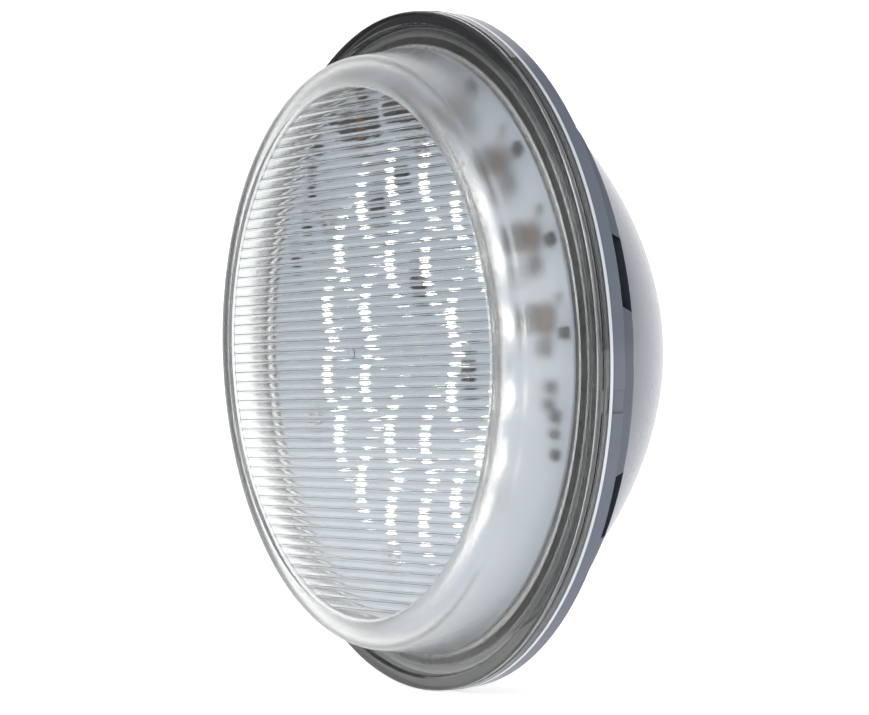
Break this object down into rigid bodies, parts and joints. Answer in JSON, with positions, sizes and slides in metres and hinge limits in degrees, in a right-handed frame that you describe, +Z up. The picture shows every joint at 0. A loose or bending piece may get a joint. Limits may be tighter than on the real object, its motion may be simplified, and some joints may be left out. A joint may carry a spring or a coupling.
{
  "type": "underwater pool light",
  "caption": "Round flanged underwater pool lamp with a ribbed clear lens, an LED board, a flooded rear shell and two screw terminals.",
  "frame": {"origin": "centre of the flange's rear face, on the lens axis", "axes": "+Y along the lens axis towards the terminals, the lens faces -Y, +Z up"},
  "size_m": [0.1782, 0.0876, 0.1782],
  "materials": {
    "clear_lens": "clear polycarbonate, frosted on the side wall",
    "seal_rubber": "matt moulded silicone",
    "bond_bead": "pale cured bond bead",
    "shell_plastic": "blue-grey moulded plastic, semi-gloss",
    "sink_aluminium": "black anodised",
    "pad_rubber": "soft grey thermal pad",
    "board_white": "white solder mask",
    "screw_steel": "plain stainless",
    "led_white": "white moulded LED body",
    "led_phosphor": "lit phosphor",
    "ferrite": "dark ferrite",
    "copper_wire": "lacquered copper winding",
    "chip_black": "black epoxy package",
    "capacitor_grey": "ceramic capacitor body",
    "resistor_black": "thick film resistor",
    "solder": "solder joint",
    "lead_jacket": "black lead insulation",
    "terminal_brass": "machined brass",
    "potting_resin": "black potting resin"
  },
  "bodies": {
    "lamp": {"front_lens": "clear_lens", "lens_gasket": "seal_rubber", "lens_bond": "bond_bead", "stem_seal": "seal_rubber", "rear_shell": "shell_plastic", "heat_sink": "sink_aluminium", "thermal_pad": "pad_rubber", "led_board": "board_white", "board_screws": "screw_steel", "led_packages": "led_white", "led_emitters": "led_phosphor", "inductor_cores": "ferrite", "inductor_coils": "copper_wire", "driver_chips": "chip_black", "rectifier_diodes": "chip_black", "filter_capacitors": "capacitor_grey", "chip_resistors": "resistor_black", "bridge_rectifiers": "chip_black", "surge_suppressors": "chip_black", "lead_pads": "solder", "supply_leads": "lead_jacket", "terminal_posts": "terminal_brass", "lead_potting": "potting_resin"},
    "left_washer": {"clamp_washer_left": "screw_steel"},
    "left_screw": {"terminal_screw_left": "screw_steel"},
    "right_washer": {"clamp_washer_right": "screw_steel"},
    "right_screw": {"terminal_screw_right": "screw_steel"}
  },
  "joints": [
    {"name": "left_washer_lift", "type": "slide", "parent": "lamp", "child": "left_washer", "axis": [0, 1, 0], "range_m": [0, 0.0035]},
    {"name": "left_screw_turn", "type": "hinge", "parent": "left_washer", "child": "left_screw", "pos_m": [-0.011, 0.055, 0], "axis": [0, 1, 0], "range_deg": [0, 1800]},
    {"name": "right_washer_lift", "type": "slide", "parent": "lamp", "child": "right_washer", "axis": [0, 1, 0], "range_m": [0, 0.0035]},
    {"name": "right_screw_turn", "type": "hinge", "parent": "right_washer", "child": "right_screw", "pos_m": [0.011, 0.055, 0], "axis": [0, 1, 0], "range_deg": [0, 1800]}
  ],
  "couplings": [
    {"joint": "left_screw_turn", "follows": "left_washer_lift", "rad_per_m": 8976},
    {"joint": "right_screw_turn", "follows": "right_washer_lift", "rad_per_m": 8976}
  ]
}
